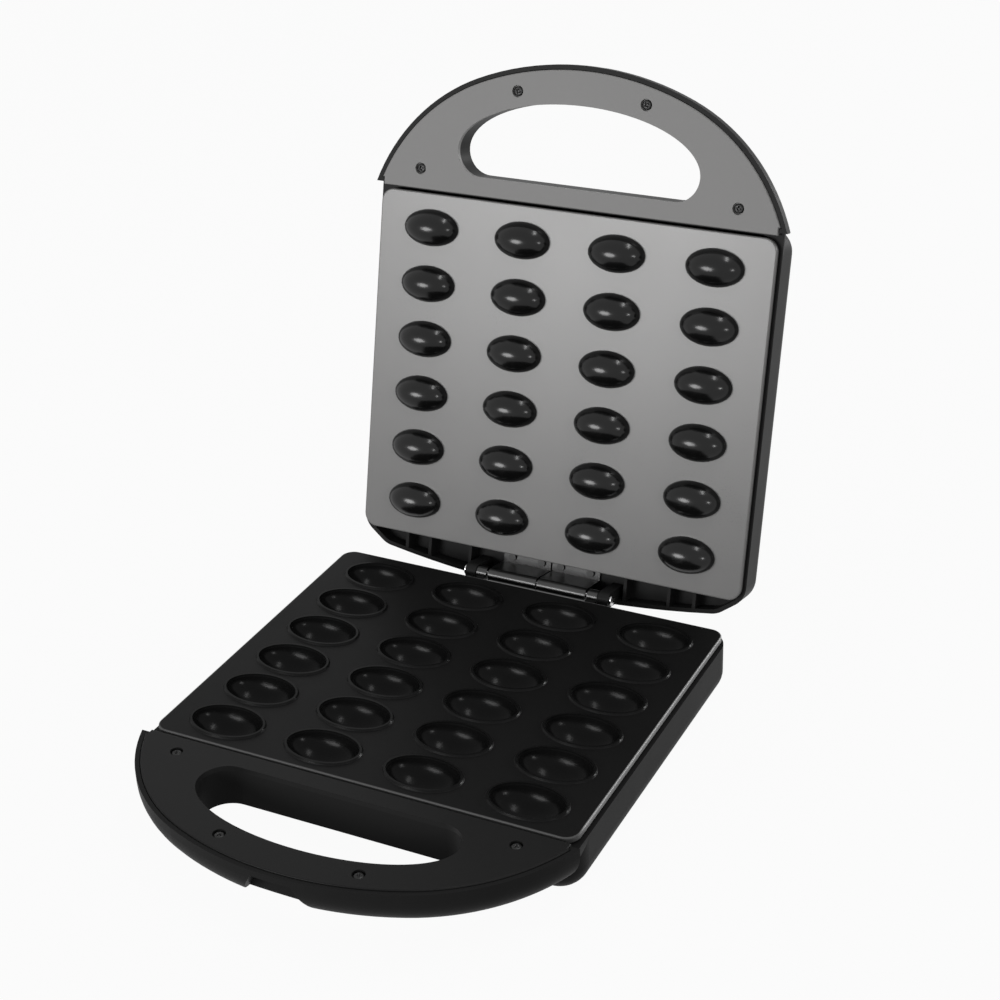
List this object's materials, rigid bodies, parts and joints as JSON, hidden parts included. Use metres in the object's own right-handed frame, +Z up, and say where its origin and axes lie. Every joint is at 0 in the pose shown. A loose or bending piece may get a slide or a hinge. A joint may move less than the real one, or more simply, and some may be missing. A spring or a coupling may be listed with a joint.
{
  "type": "nut-shell pastry maker",
  "caption": "Electric nut-shell pastry maker: hinged lid with oval domes over a plate of oval moulds, a grip with a finger hole on each half.",
  "frame": {"origin": "on the table under the middle of the whole object with its lid open", "axes": "+Z up, +Y from the grips towards the hinge, +X along the hinge to the right"},
  "size_m": [0.259, 0.3988, 0.334],
  "materials": {
    "housing_plastic": "black fine satin moulded plastic",
    "cover_plastic": "black satin plastic",
    "lid_cover_plastic": "grey satin plastic",
    "lower_nonstick": "black non-stick coating on cast aluminium",
    "upper_nonstick": "grey satin non-stick coating on cast aluminium",
    "element_steel": "tubular steel sheath",
    "insulator": "white steatite ceramic",
    "sheet_steel": "zinc-plated sheet",
    "reflector_sheet": "bright aluminised sheet",
    "black_screw": "black oxide",
    "zinc_screw": "zinc plated",
    "hinge_steel": "dark polished steel",
    "pin_steel": "bright steel",
    "foot_rubber": "soft black rubber",
    "gland_plastic": "black nylon",
    "block_plastic": "cream heat-resistant plastic",
    "lead_sleeve": "white glass-fibre sleeve",
    "thermostat_body": "aluminium cap on a phenolic base",
    "fuse_sleeve": "glass-fibre sleeve",
    "red_lens": "clear red plastic",
    "green_lens": "clear green plastic"
  },
  "bodies": {
    "base": {"lower_housing": "housing_plastic", "lower_handle_cover": "cover_plastic", "lower_cover_screws": "black_screw", "lower_baking_plate": "lower_nonstick", "lower_heating_element": "element_steel", "lower_element_insulators": "insulator", "lower_element_clamps": "sheet_steel", "lower_clamp_screws": "zinc_screw", "lower_reflector": "reflector_sheet", "lower_plate_screws": "zinc_screw", "rubber_feet": "foot_rubber", "foot_screws": "zinc_screw", "hinge_base_brackets": "hinge_steel", "hinge_bracket_screws": "black_screw", "hinge_pin": "pin_steel", "cord_gland": "gland_plastic", "gland_lock_nut": "gland_plastic", "terminal_block": "block_plastic", "lower_leads": "lead_sleeve"},
    "lid": {"upper_housing": "housing_plastic", "upper_handle_cover": "lid_cover_plastic", "upper_cover_screws": "black_screw", "upper_baking_plate": "upper_nonstick", "upper_heating_element": "element_steel", "upper_element_insulators": "insulator", "upper_element_clamps": "sheet_steel", "upper_clamp_screws": "zinc_screw", "upper_reflector": "reflector_sheet", "upper_plate_screws": "zinc_screw", "lid_screw_plugs": "housing_plastic", "lid_hinge_knuckles": "hinge_steel", "lid_knuckle_screws": "black_screw", "thermostat": "thermostat_body", "thermal_fuse": "fuse_sleeve", "upper_leads": "lead_sleeve", "power_lamp_lens": "red_lens", "ready_lamp_lens": "green_lens", "lamp_cups": "block_plastic"}
  },
  "joints": [
    {"name": "lid_hinge", "type": "hinge", "parent": "base", "child": "lid", "pos_m": [0, 0.10882, 0.0358], "axis": [1, 0, 0], "range_deg": [0, 103.5]}
  ]
}
